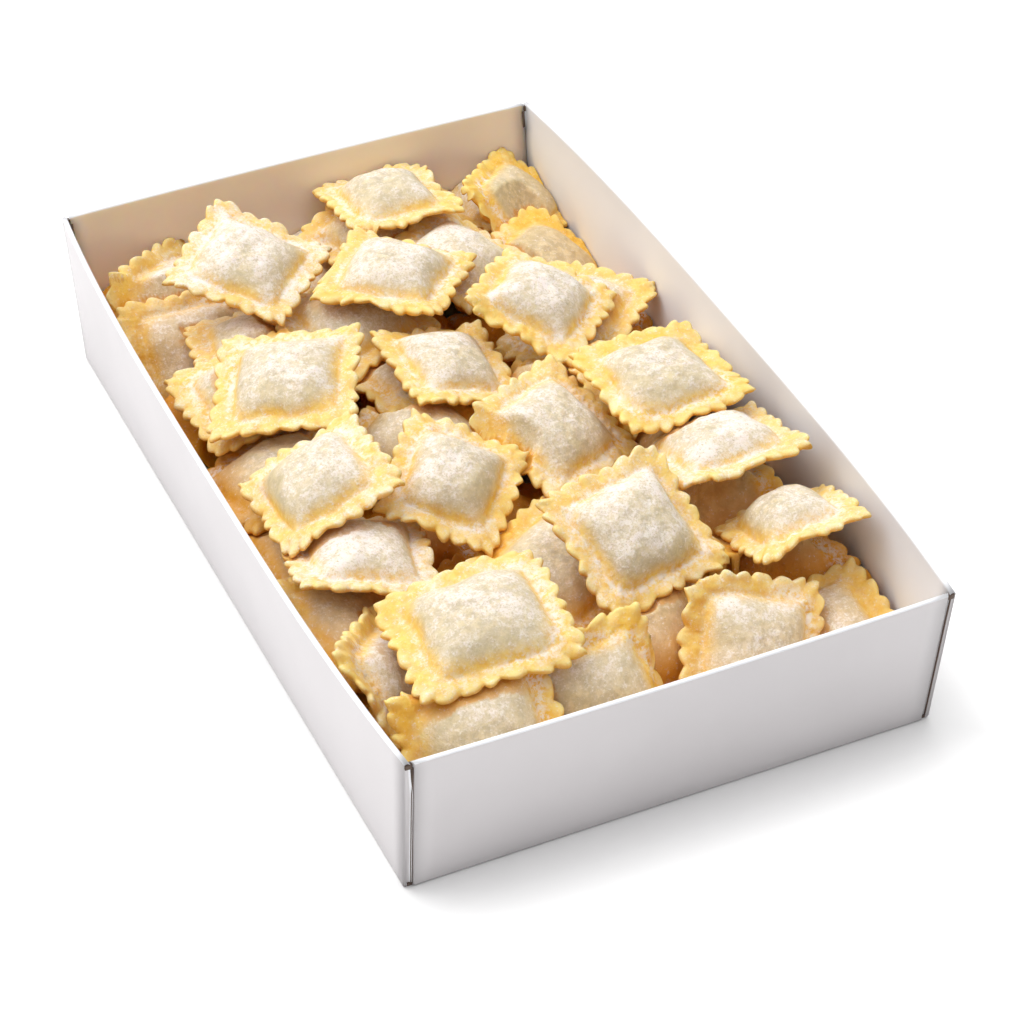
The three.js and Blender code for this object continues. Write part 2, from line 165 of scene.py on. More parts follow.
def chance(piece, use):
    """A number from 0 to 1 that is always the same for one piece and one use."""
    wave = np.sin(piece * 12.9898 + use * 78.233) * 43758.5453
    return wave - np.floor(wave)


def spread(piece, use, most):
    return (chance(piece, use) * 2 - 1) * most


def smooth_step(low, high, value):
    share = np.clip((value - low) / (high - low), 0, 1)
    return share * share * (3 - 2 * share)


def ripples(x, y, piece, use, length, count=5):
    """Soft uneven waves from -1 to 1, each about that many millimetres long."""
    total = np.zeros_like(x)
    for i in range(count):
        turn = chance(piece, use + 3 * i) * math.tau
        size = length * (0.7 + 0.8 * chance(piece, use + 3 * i + 1))
        phase = chance(piece, use + 3 * i + 2) * math.tau
        total += np.sin((x * math.cos(turn) + y * math.sin(turn)) * math.tau / size + phase)
    return total / math.sqrt(count) / 1.6


def rotation(lean_x, lean_y, turn):
    a, b, c = (math.radians(angle) for angle in (lean_x, lean_y, turn))
    about_x = np.array([[1, 0, 0], [0, math.cos(a), -math.sin(a)], [0, math.sin(a), math.cos(a)]])
    about_y = np.array([[math.cos(b), 0, math.sin(b)], [0, 1, 0], [-math.sin(b), 0, math.cos(b)]])
    about_z = np.array([[math.cos(c), -math.sin(c), 0], [math.sin(c), math.cos(c), 0], [0, 0, 1]])
    return about_x @ about_y @ about_z


def box_size(z):
    """Half width and half length of the box's outer face at a height, and the bow of its walls."""
    rise = z / BOX_HEIGHT
    half_width = FOOT_HALF_WIDTH + (RIM_HALF_WIDTH - FOOT_HALF_WIDTH) * rise
    half_length = FOOT_HALF_LENGTH + (RIM_HALF_LENGTH - FOOT_HALF_LENGTH) * rise
    return half_width, half_length, SIDE_BOW * rise, END_BOW * rise


def side_shape(along):
    return 1 - np.abs(along) ** BOW_POWER


def end_shape(along):
    return 1 - along**2


def keep_in_box(points):
    """Moves points that would be in a wall or the floor to just inside the box."""
    x, y, z = points.T
    z = np.maximum(z, FLOOR + FLOOR_GAP)
    half_width, half_length, side, end = box_size(np.minimum(z, BOX_HEIGHT))
    inset = WALL + WALL_GAP
    share_y = np.minimum(1, np.abs(y) / half_length)
    share_x = np.minimum(1, np.abs(x) / half_width)
    side_limit = half_width - inset + side * side_shape(share_y)
    end_limit = half_length - inset + end * end_shape(share_x)
    return np.column_stack([np.clip(x, -side_limit, side_limit), np.clip(y, -end_limit, end_limit), z])


class Ceiling:
    """A map of the lowest underside over each place in the box."""

    def __init__(self):
        columns = round(2 * MAP_HALF_WIDTH / MAP_CELL)
        rows = round(2 * MAP_HALF_LENGTH / MAP_CELL)
        self.draped = np.full((columns, rows), 1000.0)
        self.covered = self.draped.copy()

    def cells(self, points):
        column = np.clip((points[:, 0] + MAP_HALF_WIDTH) / MAP_CELL, 0, self.draped.shape[0] - 2)
        row = np.clip((points[:, 1] + MAP_HALF_LENGTH) / MAP_CELL, 0, self.draped.shape[1] - 2)
        return column, row

    def lower(self, height, steps, slope):
        """Spreads low places outwards, rising by the slope."""
        for _ in range(steps):
            for axis in (0, 1):
                for shift in (-1, 1):
                    near = np.roll(height, shift, axis=axis) + slope * MAP_CELL
                    height = np.minimum(height, near)
        return height

    def mark(self, underside):
        """Adds a piece to the map: as it lies, and draped with a slope round its edge."""
        column, row = self.cells(underside)
        place = (np.round(column).astype(int), np.round(row).astype(int))
        own = np.full_like(self.draped, 1000.0)
        np.minimum.at(own, place, underside[:, 2])
        own = self.lower(own, 2, 0)
        self.covered = np.minimum(self.covered, own)
        own = self.lower(own, round(DRAPE_REACH / MAP_CELL), DRAPE_SLOPE)
        for axis in (0, 1, 0, 1):
            own = (np.roll(own, 1, axis=axis) + own + np.roll(own, -1, axis=axis)) / 3
        self.draped = np.minimum(self.draped, own)

    def room(self, points):
        """How far it is from each point up to the next piece, where one lies over it."""
        column, row = self.cells(points)
        return self.covered[np.round(column).astype(int), np.round(row).astype(int)] - points[:, 2]

    def over(self, points):
        """The draped underside over each point, read between the cells."""
        column, row = self.cells(points)
        i, j = column.astype(int), row.astype(int)
        u, v = column - i, row - j
        height = self.draped
        low = height[i, j] * (1 - u) + height[i + 1, j] * u
        high = height[i, j + 1] * (1 - u) + height[i + 1, j + 1] * u
        return low * (1 - v) + high * v


def sheet_bend(piece, x, y):
    """A twist, a droop or lift of the rim and a wave round it."""
    distance = x * x + y * y
    turn = np.arctan2(y, x)
    twisted = spread(piece, 1, TWIST) * x * y
    drooped = (spread(piece, 2, DROOP_SPREAD) - DROOP) * distance
    waved = WAVE * np.sin(WAVE_ROUNDS * turn + chance(piece, 3) * math.tau)
    waved += RIPPLE * np.sin(RIPPLE_ROUNDS * turn + chance(piece, 4) * math.tau)
    return twisted + drooped + waved * distance


def ravioli_surface(piece, wide, long, reach, side_x, side_y):
    """Places on one ravioli. reach runs from 0 in the middle to 1 at the cut edge,
    and side_x and side_y say which way on a square. Returns the plan, the upper
    and lower faces, and the masks that the dough's finish is painted by."""
    half_wide, half_long = wide / 2, long / 2
    half = (half_wide + half_long) / 2
    pillow_share = (half - RIM_WIDTH) / half
    along = np.where(np.abs(side_x) > np.abs(side_y), side_y, side_x)
    corner = np.abs(side_x * side_y)

    # the cut edge: round lobes with narrow notches between them
    count = LOBES * (along + 1) / 2
    side = np.where(np.abs(side_x) > np.abs(side_y), np.sign(side_x), 2 + np.sign(side_y))
    own = 5 * piece + 1.7 * side
    inner = 1 - along**6
    uneven = 1 + inner * (0.24 * np.sin(2.3 * count + own) + 0.16 * np.sin(5.1 * count + 2 * own))
    drift = inner * (0.11 * np.sin(1.9 * count + 3 * own) + 0.06 * np.sin(4.3 * count + own))
    lobe = (2 * np.abs(np.cos(np.pi * (count + drift))) ** 0.9 - 1) * uneven
    at_edge = smooth_step(1 - 4.5 / half, 1, reach) ** 1.5
    size = np.abs(side_x) ** OUTLINE_ROUNDNESS + np.abs(side_y) ** OUTLINE_ROUNDNESS
    size = size ** (1 / OUTLINE_ROUNDNESS)
    grow = reach * (1 - LOBE_DEPTH / half + lobe * at_edge * LOBE_DEPTH / half)
    wobble = 1 + 0.012 * np.sin(2 * np.pi * count / LOBES * 1.5 + math.tau * chance(piece, 7))
    x = side_x / size * grow * wobble
    y = side_y / size * grow * wobble
    x_mm, y_mm = x * half_wide, y * half_long

    # the pillow
    shift_x, shift_y = spread(piece, 8, 0.03), spread(piece, 9, 0.03)
    from_middle = np.abs(x - shift_x) ** PILLOW_ROUNDNESS + np.abs(y - shift_y) ** PILLOW_ROUNDNESS
    share = from_middle ** (1 / PILLOW_ROUNDNESS) / pillow_share
    share = share * (1 + 0.05 * ripples(x_mm, y_mm, piece, 20, 14))
    foot = 1 + 0.05 * ripples(x_mm, y_mm, piece, 24, 15)
    across = np.abs(x - shift_x) / pillow_share * foot
    length = np.abs(y - shift_y) / pillow_share * foot
    dome = np.maximum(0, 1 - across**DOME_POWER) * np.maximum(0, 1 - length**DOME_POWER)
    dome = dome**DOME_FULLNESS
    dents = ripples(x_mm, y_mm, piece, 40, 13) * 0.32 + ripples(x_mm, y_mm, piece, 60, 5) * 0.2
    dents += ripples(x_mm, y_mm, piece, 120, 2.4) * 0.08
    fullness = FOLDED_FULLNESS if piece in FOLDED else FULLNESS + spread(piece, 10, FULLNESS_SPREAD)
    pillow = dome * (PILLOW_HEIGHT * fullness + dents)

    # the rim
    from_edge = (1 - reach) * half
    rounded = np.sqrt(1 - (1 - np.minimum(from_edge / 1.15, 1)) ** 2)
    crease = np.exp(-(((share - 1.05) / 0.07) ** 2))
    on_rim = smooth_step(0.97, 1.1, share)
    flute = 0.3 * lobe * smooth_step(1 - 3 / half, 1 - 0.5 / half, reach)
    pinch = on_rim * 0.5 * np.exp(-(((1 - corner) / 0.22) ** 2)) * (1 - at_edge)
    uneven_rim = 0.2 * ripples(x_mm, y_mm, piece, 80, 5) + 0.12 * ripples(x_mm, y_mm, piece, 140, 2.2)
    uneven_rim = on_rim * uneven_rim
    thick = SHEET / 2 * (0.92 + 0.1 * ripples(x_mm, y_mm, piece, 100, 18))

    # flour that was swept up against the pillow lies there in lumps, more on one side
    swept = 0.5 + 0.5 * np.sin(np.arctan2(y, x) + math.tau * chance(piece, 30))
    swept = swept + 0.3 * ripples(x_mm, y_mm, piece, 31, 16)
    lumps = ripples(x_mm, y_mm, piece, 32, 3.2) + 0.4 * ripples(x_mm, y_mm, piece, 36, 1.9)
    lumps = smooth_step(-0.3, 0.4, lumps)
    band = np.exp(-(((share - 1.1) / 0.13) ** 2))
    flour_lump = band * lumps * smooth_step(0.2, 0.8, swept)
    top = (thick + uneven_rim + pinch - 0.3 * crease + 0.3 * flour_lump) * rounded
    top = top + flute * rounded + pillow
    belly = BELLY_DEPTH * np.maximum(0, 1 - (share / 0.95) ** 2)
    bottom = -thick * rounded - belly + 0.4 * flute * rounded

    # the rim waves up and down between the corners
    phase = math.tau * (along * (1.5 + chance(piece, 11)) / 2 + chance(piece, 12))
    ruffle = 0.7 * at_edge * np.sin(phase)
    bend = sheet_bend(piece, x, y) + ruffle
    from_patch = (x - spread(piece, 13, 0.16)) ** 2 + (y - spread(piece, 14, 0.16)) ** 2
    masks = {
        "pillow": dome,
        "crease": crease,
        "rim": on_rim,
        "swept": band * smooth_step(0.2, 0.8, swept),
        "lobe_tip": np.clip(0.5 + 0.5 * lobe, 0, 1) * smooth_step(1 - 3.4 / half, 1, reach),
        "patch": np.exp(-(from_patch / 0.2)) * dome,
    }
    return x_mm, y_mm, top + bend, bottom + bend, masks


def joined(low, high):
    """Triangles between two loops of (vertex, key) that run the same way round."""
    faces = []
    i = j = 0
    while i < len(low) or j < len(high):
        next_low = (low[i + 1][1] if i + 1 < len(low) else 1 + low[0][1]) if i < len(low) else 9
        next_high = (high[j + 1][1] if j + 1 < len(high) else 1 + high[0][1]) if j < len(high) else 9
        a, b = low[i % len(low)][0], high[j % len(high)][0]
        if next_low <= next_high:
            faces.append((a, low[(i + 1) % len(low)][0], b))
            i += 1
        else:
            faces.append((a, high[(j + 1) % len(high)][0], b))
            j += 1
    return faces


def square_grid(cells):
    """Grid lines over the sheet, closer together at the cut edge."""
    line = np.linspace(-1, 1, cells + 1)
    step = 2 / cells
    for k, offset in enumerate((0, 0.22, 0.75, 1.6, 2.7, 3.85)):
        line[k] = -1 + offset * step
        line[-1 - k] = 1 - offset * step
    u, v = np.meshgrid(line, line, indexing="ij")
    reach = np.maximum(np.abs(u), np.abs(v)).ravel()
    safe = np.maximum(reach, 1e-9)
    middle = reach < 1e-9
    side_x = np.where(middle, 1.0, u.ravel() / safe)
    side_y = np.where(middle, 0.0, v.ravel() / safe)
    return reach, side_x, side_y


def grid_border(cells):
    """Vertex numbers round the grid, anticlockwise."""
    n = cells + 1
    south = [i * n for i in range(cells)]
    east = [cells * n + j for j in range(cells)]
    north = [i * n + cells for i in range(cells, 0, -1)]
    west = list(range(cells, 0, -1))
    return south + east + north + west


def ravioli_arrays(piece, wide, long, cells_per_lobe):
    """Vertices, upper heights, faces and masks of one ravioli in its own frame."""
    cells = LOBES * cells_per_lobe
    n = cells + 1
    reach, side_x, side_y = square_grid(cells)
    x, y, top, bottom, masks = ravioli_surface(piece, wide, long, reach, side_x, side_y)
    points = [np.column_stack([x, y, top])]
    uppers = [top]
    underside = np.column_stack([x, y, bottom])
    corner = np.arange(n * n).reshape(n, n)
    quads = np.stack([corner[:-1, :-1], corner[1:, :-1], corner[1:, 1:], corner[:-1, 1:]], axis=-1)
    faces = [tuple(quad) for quad in quads.reshape(-1, 4).tolist()]

    border = grid_border(cells)
    loop = [(vertex, k / len(border)) for k, vertex in enumerate(border)]
    under_masks = {name: [value] for name, value in masks.items()}
    start = n * n
    for ring_reach, skip in ((0.985, 1), (0.95, 1), (0.78, 3), (0.6, 6), (0.3, 9)):
        chosen = list(range(0, len(border), skip))
        at = np.array([border[k] for k in chosen])
        share = np.full(len(at), ring_reach)
        x, y, top, bottom, masks = ravioli_surface(piece, wide, long, share, side_x[at], side_y[at])
        points.append(np.column_stack([x, y, bottom]))
        uppers.append(top)
        for name, value in masks.items():
            under_masks[name].append(value)
        inner = [(start + k, chosen[k] / len(border)) for k in range(len(chosen))]
        faces += [(a, c, b) for a, b, c in joined(loop, inner)]
        loop = inner
        start += len(chosen)
    middle = ravioli_surface(piece, wide, long, np.zeros(1), np.ones(1), np.zeros(1))
    points.append(np.array([[0, 0, middle[3][0]]]))
    uppers.append(middle[2])
    for name, value in middle[4].items():
        under_masks[name].append(value)
    for k, (vertex, _) in enumerate(loop):
        faces.append((vertex, start, loop[(k + 1) % len(loop)][0]))
    return {
        "points": np.concatenate(points),
        "upper": np.concatenate(uppers),
        "underside": underside,
        "faces": faces,
        "masks": {name: np.concatenate(value) for name, value in under_masks.items()},
    }


def lay_ravioli(piece, place, ceiling, cells_per_lobe):
    """Puts one ravioli in its place and bends it down under those that lie on it."""
    x, y, z, lean_x, lean_y, turn, wide, long = place
    made = ravioli_arrays(piece, wide, long, cells_per_lobe)
    turned = rotation(lean_x, lean_y, turn)

    def put(points, upper):
        own = points @ turned.T + (x, y, z)
        face = np.column_stack([points[:, :2], upper]) @ turned.T + (x, y, z)
        own[:, 2] -= np.maximum(0, face[:, 2] + GAP - ceiling.over(face))
        return keep_in_box(own), 1 - smooth_step(0, SHELTER_REACH, ceiling.room(face))

    count = len(made["underside"])
    made["points"], made["sheltered"] = put(made["points"], made["upper"])
    underside, _ = put(made["underside"], made["upper"][:count])
    ceiling.mark(underside)
    return made


def mesh_object(name, points, faces, materials):
    mesh = bpy.data.meshes.new(name)
    mesh.from_pydata((np.asarray(points) * MM).tolist(), [], faces)
    mesh.polygons.foreach_set("use_smooth", [True] * len(mesh.polygons))
    for material in materials:
        mesh.materials.append(material)
    mesh.update()
    piece = bpy.data.objects.new(name, mesh)
    bpy.context.scene.collection.objects.link(piece)
    return piece


def paint(piece, name, values):
    """Keeps a mask as a number on each vertex, for the material to read."""
    layer = piece.data.attributes.new(name, "FLOAT", "POINT")
    layer.data.foreach_set("value", np.ascontiguousarray(values, dtype=np.float32))


# Materials


def colour(code):
    """sRGB hex to linear."""
    parts = [int(code[i : i + 2], 16) / 255 for i in (1, 3, 5)]
    return [p / 12.92 if p <= 0.04045 else ((p + 0.055) / 1.055) ** 2.4 for p in parts] + [1.0]


def add(tree, kind, inputs=(), out=0, **settings):
    """Adds a node with its settings. inputs gives each socket a number, an sRGB hex
    colour or the socket it is linked to. Returns the output that out names."""
    node = tree.nodes.new("ShaderNode" + kind)
    for key, value in settings.items():
        setattr(node, key, value)
    for key, value in dict(inputs).items():
        if isinstance(value, bpy.types.NodeSocket):
            tree.links.new(value, node.inputs[key])
        else:
            node.inputs[key].default_value = colour(value) if isinstance(value, str) else value
    return node.outputs[out]


# settings that many nodes share
TIMES = {"operation": "MULTIPLY"}
PLUS = {"operation": "ADD"}
TIMES_PLUS = {"operation": "MULTIPLY_ADD"}
LARGER = {"operation": "MAXIMUM"}
SMOOTH = {"interpolation_type": "SMOOTHSTEP", "out": "Result"}
BLEND = {"data_type": "RGBA", "out": 2}


def new_material(name):
    material = bpy.data.materials.new(name)
    material.use_nodes = True
    material.node_tree.nodes.clear()
    return material, material.node_tree


def finish_surface(tree, inputs):
    surface = add(tree, "BsdfPrincipled", inputs)
    output = tree.nodes.new("ShaderNodeOutputMaterial")
    tree.links.new(surface, output.inputs["Surface"])


def per_mm(size):
    """Scale of a noise whose grains are that many millimetres across."""
    return 1 / (size * MM)


# Patterns on the dough: name, size in mm, detail and roughness. Flour is finer than
# 0.2 mm, so its grains and clumps are drawn as coarse as the render can show.
DOUGH_PATTERNS = (
    ("clouds", 9, 3, 0.6),
    ("mottling", 2.6, 4, 0.65),
    ("grains", 0.6, 3, 0.7),
    ("clumps", 1.7, 4, 0.75),
)


def raw_dough():
    """Raw egg pasta, rolled and dusted with flour: it lets some light through, so it
    is yellow and bright where bare, paler over the filling, and the flour lies on it
    in grains and lumps."""
    material, tree = new_material("raw_egg_dough")
    where = add(tree, "TexCoord", out="Object")
    names = ("pillow", "crease", "lobe_tip", "patch", "swept", "dusting", "depth_shade", "side")
    mask = {name: add(tree, "Attribute", out="Fac", attribute_name=name) for name in names}
    pattern = {}
    for name, size, detail, rough in DOUGH_PATTERNS:
        noise = {"Vector": where, "Scale": per_mm(size), "Detail": detail, "Roughness": rough}
        pattern[name] = add(tree, "TexNoise", noise)

    # where a pattern or a mask passes from its low to its high value
    step = {}
    for name, source, low, high in (
        ("rim mottling", pattern["mottling"], 0.36, 0.64),
        ("pale clouds", pattern["clouds"], 0.5, 0.75),
        ("pillow mottling", pattern["mottling"], 0.35, 0.65),
        ("pillow", mask["pillow"], 0.05, 0.6),
        ("patch mottling", pattern["mottling"], 0.4, 0.6),
        ("dusted clouds", pattern["clouds"], 0.3, 0.7),
        ("pits", pattern["grains"], 0.46, 0.32),
        ("lumps", pattern["clumps"], 0.4, 0.6),
    ):
        limits = {"Value": source, "From Min": low, "From Max": high}
        step[name] = add(tree, "MapRange", limits, **SMOOTH)

    # bare dough: the rim, with its paler lobes and its sides painted darker amber where they turn away
    # from above (painted shade), then the pillow
    # painted shade: rim faces that turn away from above go darker amber
    side = add(tree, "Math", {0: mask["side"], 1: 0.7}, **TIMES)
    # painted shade: the crease round the pillow goes a little darker amber
    crease = add(tree, "Math", {0: mask["crease"], 1: 0.08}, **TIMES)
    rim = add(tree, "Mix", {0: step["rim mottling"], 6: "#F8D05A", 7: "#F1BC3C"}, **BLEND)
    for share, tone in (
        (mask["lobe_tip"], "#F8DE8C"),
        (step["pale clouds"], "#F6DE95"),
        (side, "#E89F1C"),
        (crease, "#E3A83A"),
    ):
        rim = add(tree, "Mix", {0: share, 6: rim, 7: tone}, **BLEND)
    pillow = {0: step["pillow mottling"], 6: "#DDCB9F", 7: "#CBB98D"}
    over_filling = add(tree, "Mix", pillow, **BLEND)
    bare = add(tree, "Mix", {0: step["pillow"], 6: rim, 7: over_filling}, **BLEND)

    # the filling shows through in a greyer patch; dough that lies deep or close under another piece is
    # painted amber, as painted shade
    patch = add(tree, "Math", {0: mask["patch"], 1: step["patch mottling"]}, **TIMES)
    patch = add(tree, "Math", {0: patch, 1: 0.6}, **TIMES)
    depth_shade = add(tree, "Math", {0: mask["depth_shade"], 1: 0.95}, **TIMES)
    for share, tone in ((patch, "#AFA283"), (depth_shade, "#DA8E0A")):
        bare = add(tree, "Mix", {0: share, 6: bare, 7: tone}, **BLEND)

    # flour: a thin veil, darker pits between its grains, then grains and lumps
    patchy = add(tree, "Math", {0: step["dusted clouds"], 1: 0.5}, **PLUS)
    amount = add(tree, "Math", {0: mask["dusting"], 1: patchy}, **TIMES)
    film = add(tree, "Math", {0: pattern["clumps"], 1: 1.2, 2: -0.05}, **TIMES_PLUS)
    veil = add(tree, "Math", {0: amount, 1: film}, use_clamp=True, **TIMES)
    open_grain = add(tree, "Math", {0: amount, 1: 0.1}, **PLUS)
    pits = add(tree, "Math", {0: step["pits"], 1: open_grain}, **TIMES)
    pits = add(tree, "Math", {0: pits, 1: 0.42}, use_clamp=True, **TIMES)
    grains = add(tree, "Math", {0: pattern["grains"], 1: 0.5}, **TIMES)
    uneven = add(tree, "Math", {0: pattern["clumps"], 1: 0.7, 2: grains}, **TIMES_PLUS)
    fine = add(tree, "Math", {0: amount, 1: 0.14, 2: uneven}, **TIMES_PLUS)
    sown = add(tree, "MapRange", {"Value": fine, "From Min": 0.66, "From Max": 0.86}, **SMOOTH)
    lumps = add(tree, "Math", {0: mask["swept"], 1: step["lumps"]}, **TIMES)
    cover = add(tree, "Math", {0: sown, 1: lumps}, **LARGER)
    white = add(tree, "Math", {0: cover, 1: 0.8}, **TIMES)
    for share, tone in ((veil, "#ECE0D5"), (pits, "#B09C70"), (white, "#F5EBE2")):
        bare = add(tree, "Mix", {0: share, 6: bare, 7: tone}, **BLEND)

    # floured dough is duller than bare dough, and its grains stand up
    rough = add(tree, "Math", {0: cover, 1: 0.35, 2: 0.55}, use_clamp=True, **TIMES_PLUS)
    relief = add(tree, "Math", {0: fine, 1: 0.7}, **TIMES)
    height = add(tree, "Math", {0: pattern["mottling"], 1: 0.4, 2: relief}, **TIMES_PLUS)
    bump = add(tree, "Bump", {"Strength": 1.0, "Distance": 0.6 * MM, "Height": height})
    finish_surface(tree, {
        "Base Color": bare,
        "Roughness": rough,
        "Normal": bump,
        "IOR": 1.45,
        "Specular IOR Level": 0.3,
        "Subsurface Weight": 0.35,
        "Subsurface Radius": (1.0, 0.75, 0.35),
        "Subsurface Scale": 2.5 * MM,
    })
    return material


def coated_card(name, light, dark, light_through):
    """White coated card, folded: smooth, with the fibres just felt. A single layer of
    it lets warm light through."""
    material, tree = new_material(name)
    where = add(tree, "TexCoord", out="Object")
    clouds = add(tree, "TexNoise", {"Vector": where, "Scale": per_mm(40), "Detail": 2})
    fibre = {"Vector": where, "Scale": per_mm(0.6), "Detail": 3, "Roughness": 0.6}
    fibre = add(tree, "TexNoise", fibre)
    shade = add(tree, "MapRange", {"Value": clouds, "From Min": 0.3, "From Max": 0.7}, **SMOOTH)
    finish_surface(tree, {
        "Base Color": add(tree, "Mix", {0: shade, 6: light, 7: dark}, **BLEND),
        "Roughness": add(tree, "Math", {0: fibre, 1: 0.12, 2: 0.42}, **TIMES_PLUS),
        "Normal": add(tree, "Bump", {"Strength": 0.12, "Distance": 0.1 * MM, "Height": fibre}),
        "IOR": 1.5,
        "Subsurface Weight": light_through,
        "Subsurface Radius": (1.0, 0.7, 0.4),
        "Subsurface Scale": 4 * MM,
    })
    return material


def card_edge_and_hole_shade():
    """The card's cut edge, where its brown middle shows, and painted shade: dark sheets in the gap
    beside each end panel and in the openings at a corner's rim and foot.
    """
    material, tree = new_material("cut_card_edge_and_painted_hole_shade")
    where = add(tree, "TexCoord", out="Object")
    layers = {"Vector": where, "Scale": per_mm(0.5), "Detail": 3, "Roughness": 0.6}
    layers = add(tree, "TexNoise", layers)
    tone = add(tree, "Mix", {0: layers, 6: "#6E5C50", 7: "#4A3C34"}, **BLEND)
    finish_surface(tree, {"Base Color": tone, "Roughness": 0.8})
    return material


# How bright the floor glows, and how far from the box the glow sets in, in mm: it fades towards the
# box, a painted shadow
FLOOR_GLOW = 0.34
GLOW_STARTS, GLOW_FULL = 2, 45


def pale_floor():
    """A matt white table that glows, painted light, and glows less towards the box, a painted shadow
    round its foot.
    """
    material, tree = new_material("matt_white_floor")
    where = add(tree, "TexCoord", out="Object")
    clouds = add(tree, "TexNoise", {"Vector": where, "Scale": per_mm(300), "Detail": 1})
    # painted shadow: the glow fades out towards the box's foot
    outside = []
    for axis, half in (("X", FOOT_HALF_WIDTH), ("Y", FOOT_HALF_LENGTH)):
        place = add(tree, "SeparateXYZ", {0: where}, out=axis)
        distance = add(tree, "Math", {0: place}, operation="ABSOLUTE")
        outside.append(add(tree, "Math", {0: distance, 1: half * MM}, operation="SUBTRACT"))
    beyond = add(tree, "Math", {0: outside[0], 1: outside[1]}, **LARGER)
    limits = {"Value": beyond, "From Min": GLOW_STARTS * MM, "From Max": GLOW_FULL * MM}
    clear = add(tree, "MapRange", limits, **SMOOTH)
    finish_surface(tree, {
        "Base Color": add(tree, "Mix", {0: clouds, 6: "#FAFAFA", 7: "#F8F8F8"}, **BLEND),
        "Roughness": 0.9,
        "Emission Color": "#FFFFFF",
        "Emission Strength": add(tree, "Math", {0: clear, 1: FLOOR_GLOW}, **TIMES),
    })
    return material


DOUGH = raw_dough()
# painted shade: the outside gets a greyer tone than the inside, so the outer walls come out darker;
# the back wall's inside gets a warmer, darker tone, painted shade and warm light from the dough
CARD = coated_card("coated_card_outside_painted_shade", "#D0CCCD", "#CCC8C9", 0)
INNER_CARD = coated_card("white_card_inside", "#EFEFF2", "#EBEBEE", 0)
THIN_CARD = coated_card("white_card_single_layer_painted_warm_shade", "#E4DCD2", "#DED6CC", 0.7)
CARD_EDGE_AND_HOLE_SHADE = card_edge_and_hole_shade()


# The card box


# Numbers of the profile's points between which a wall's rim lies, and how much
# thinner a wall is at its two rounded ends
RIM_STARTS = 11
RIM_ENDS = 17
END_THINNING = 0.35


def wall_profile():
    """Loop of (inset from the outer face, height) round a wall: outside, rolled rim, inside."""
    loop = [(1.0, 0.0), (0.3, 0.25), (0.0, 0.8)]
    loop += [(0.0, z) for z in (6, 14, 22, 30, 38, 44, 48)]
    fold = RIM_WALL / 2
    for k in range(9):
        turn = math.pi * k / 8
        flat = math.copysign(abs(math.cos(turn)) ** 0.8, math.cos(turn))
        loop.append((fold - fold * flat, BOX_HEIGHT - fold * 0.9 + fold * 0.9 * math.sin(turn) ** 0.8))
    loop += [(RIM_WALL, 48), (RIM_WALL + 0.2, 44)]
    loop += [(WALL, z) for z in (38, 30, 22, 14, 6, 0.5)]
    return loop


def wall_points(place, stations, dips):
    """Sweeps the profile along a wall. Each station is a place along it and how far it
    is into the rounded end there, and dips is how much lower the rim gets in it."""
    profile = wall_profile()
    points, faces = [], []
    for along, into_end in stations:
        for inset, z in profile:
            middle = RIM_WALL / 2
            thinned = middle + (inset - middle) * (1 - END_THINNING * into_end)
            lowered = dips * into_end * (z / BOX_HEIGHT) ** 12
            points.append(place(along, thinned, z - lowered))
    n = len(profile)
    for i in range(len(stations) - 1):
        for j in range(n):
            k = (j + 1) % n
            faces.append((i * n + j, i * n + k, (i + 1) * n + k, (i + 1) * n + j))
    last = (len(stations) - 1) * n
    faces.append(tuple(range(n - 1, -1, -1)))
    faces.append(tuple(last + j for j in range(n)))
    return points, faces


def end_stations(half, count, fold):
    """Places along a wall of that half length, from -1 to 1. fold is the radius of its
    round ends."""
    before = []
    for k in range(6):
        turn = math.pi / 2 * k / 5
        before.append((-1 + (fold / half) * (1 - math.sin(turn)), 1 - math.cos(math.pi / 2 - turn)))
    inner = np.linspace(-1, 1, count)[1:-1]
    return before + [(a, 0.0) for a in inner] + [(-a, s) for a, s in reversed(before)]


def side_wall(sign):
    def place(along, inset, z):
        half_width, half_length, side, _ = box_size(z)
        y = along * (half_length - STRIP_DEPTH)
        buckle = 0.12 * math.sin(y * 0.045 + sign) * math.sin(math.pi * min(1, z / BOX_HEIGHT))
        return (sign * (half_width - inset + side * side_shape(along) + min(0, buckle)), y, z)

    return wall_points(place, end_stations(RIM_HALF_LENGTH, 42, 0.5), 0.3)


def end_wall(sign):
    def place(along, inset, z):
        half_width, half_length, _, end = box_size(z)
        x = along * (half_width - STRIP_WIDTH - PANEL_GAP + 1.1 * inset / WALL)
        return (x, sign * (half_length - inset + end * end_shape(along)), z)

    return wall_points(place, end_stations(RIM_HALF_WIDTH, 26, 0.4), 0.8)


def upright(side, end, start, stop, low, high, out):
    """A thin upright strip at a corner: from start to stop across, in by out behind the
    end panel's face, from low to high."""
    points, faces = [], []
    levels = np.linspace(low, high, 9)
    for z in levels:
        half_width, half_length, _, _ = box_size(z)
        for across, in_by in ((start, out), (stop, out), (stop, 2.0), (start, 2.0)):
            points.append((side * (half_width - across), end * (half_length - in_by), z))
    for i in range(len(levels) - 1):
        for k in range(4):
            j = (k + 1) % 4
            faces.append((4 * i + k, 4 * i + j, 4 * i + 4 + j, 4 * i + 4 + k))
    last = len(points) - 4
    faces += [(0, 1, 2, 3), (last, last + 1, last + 2, last + 3)]
    return points, faces


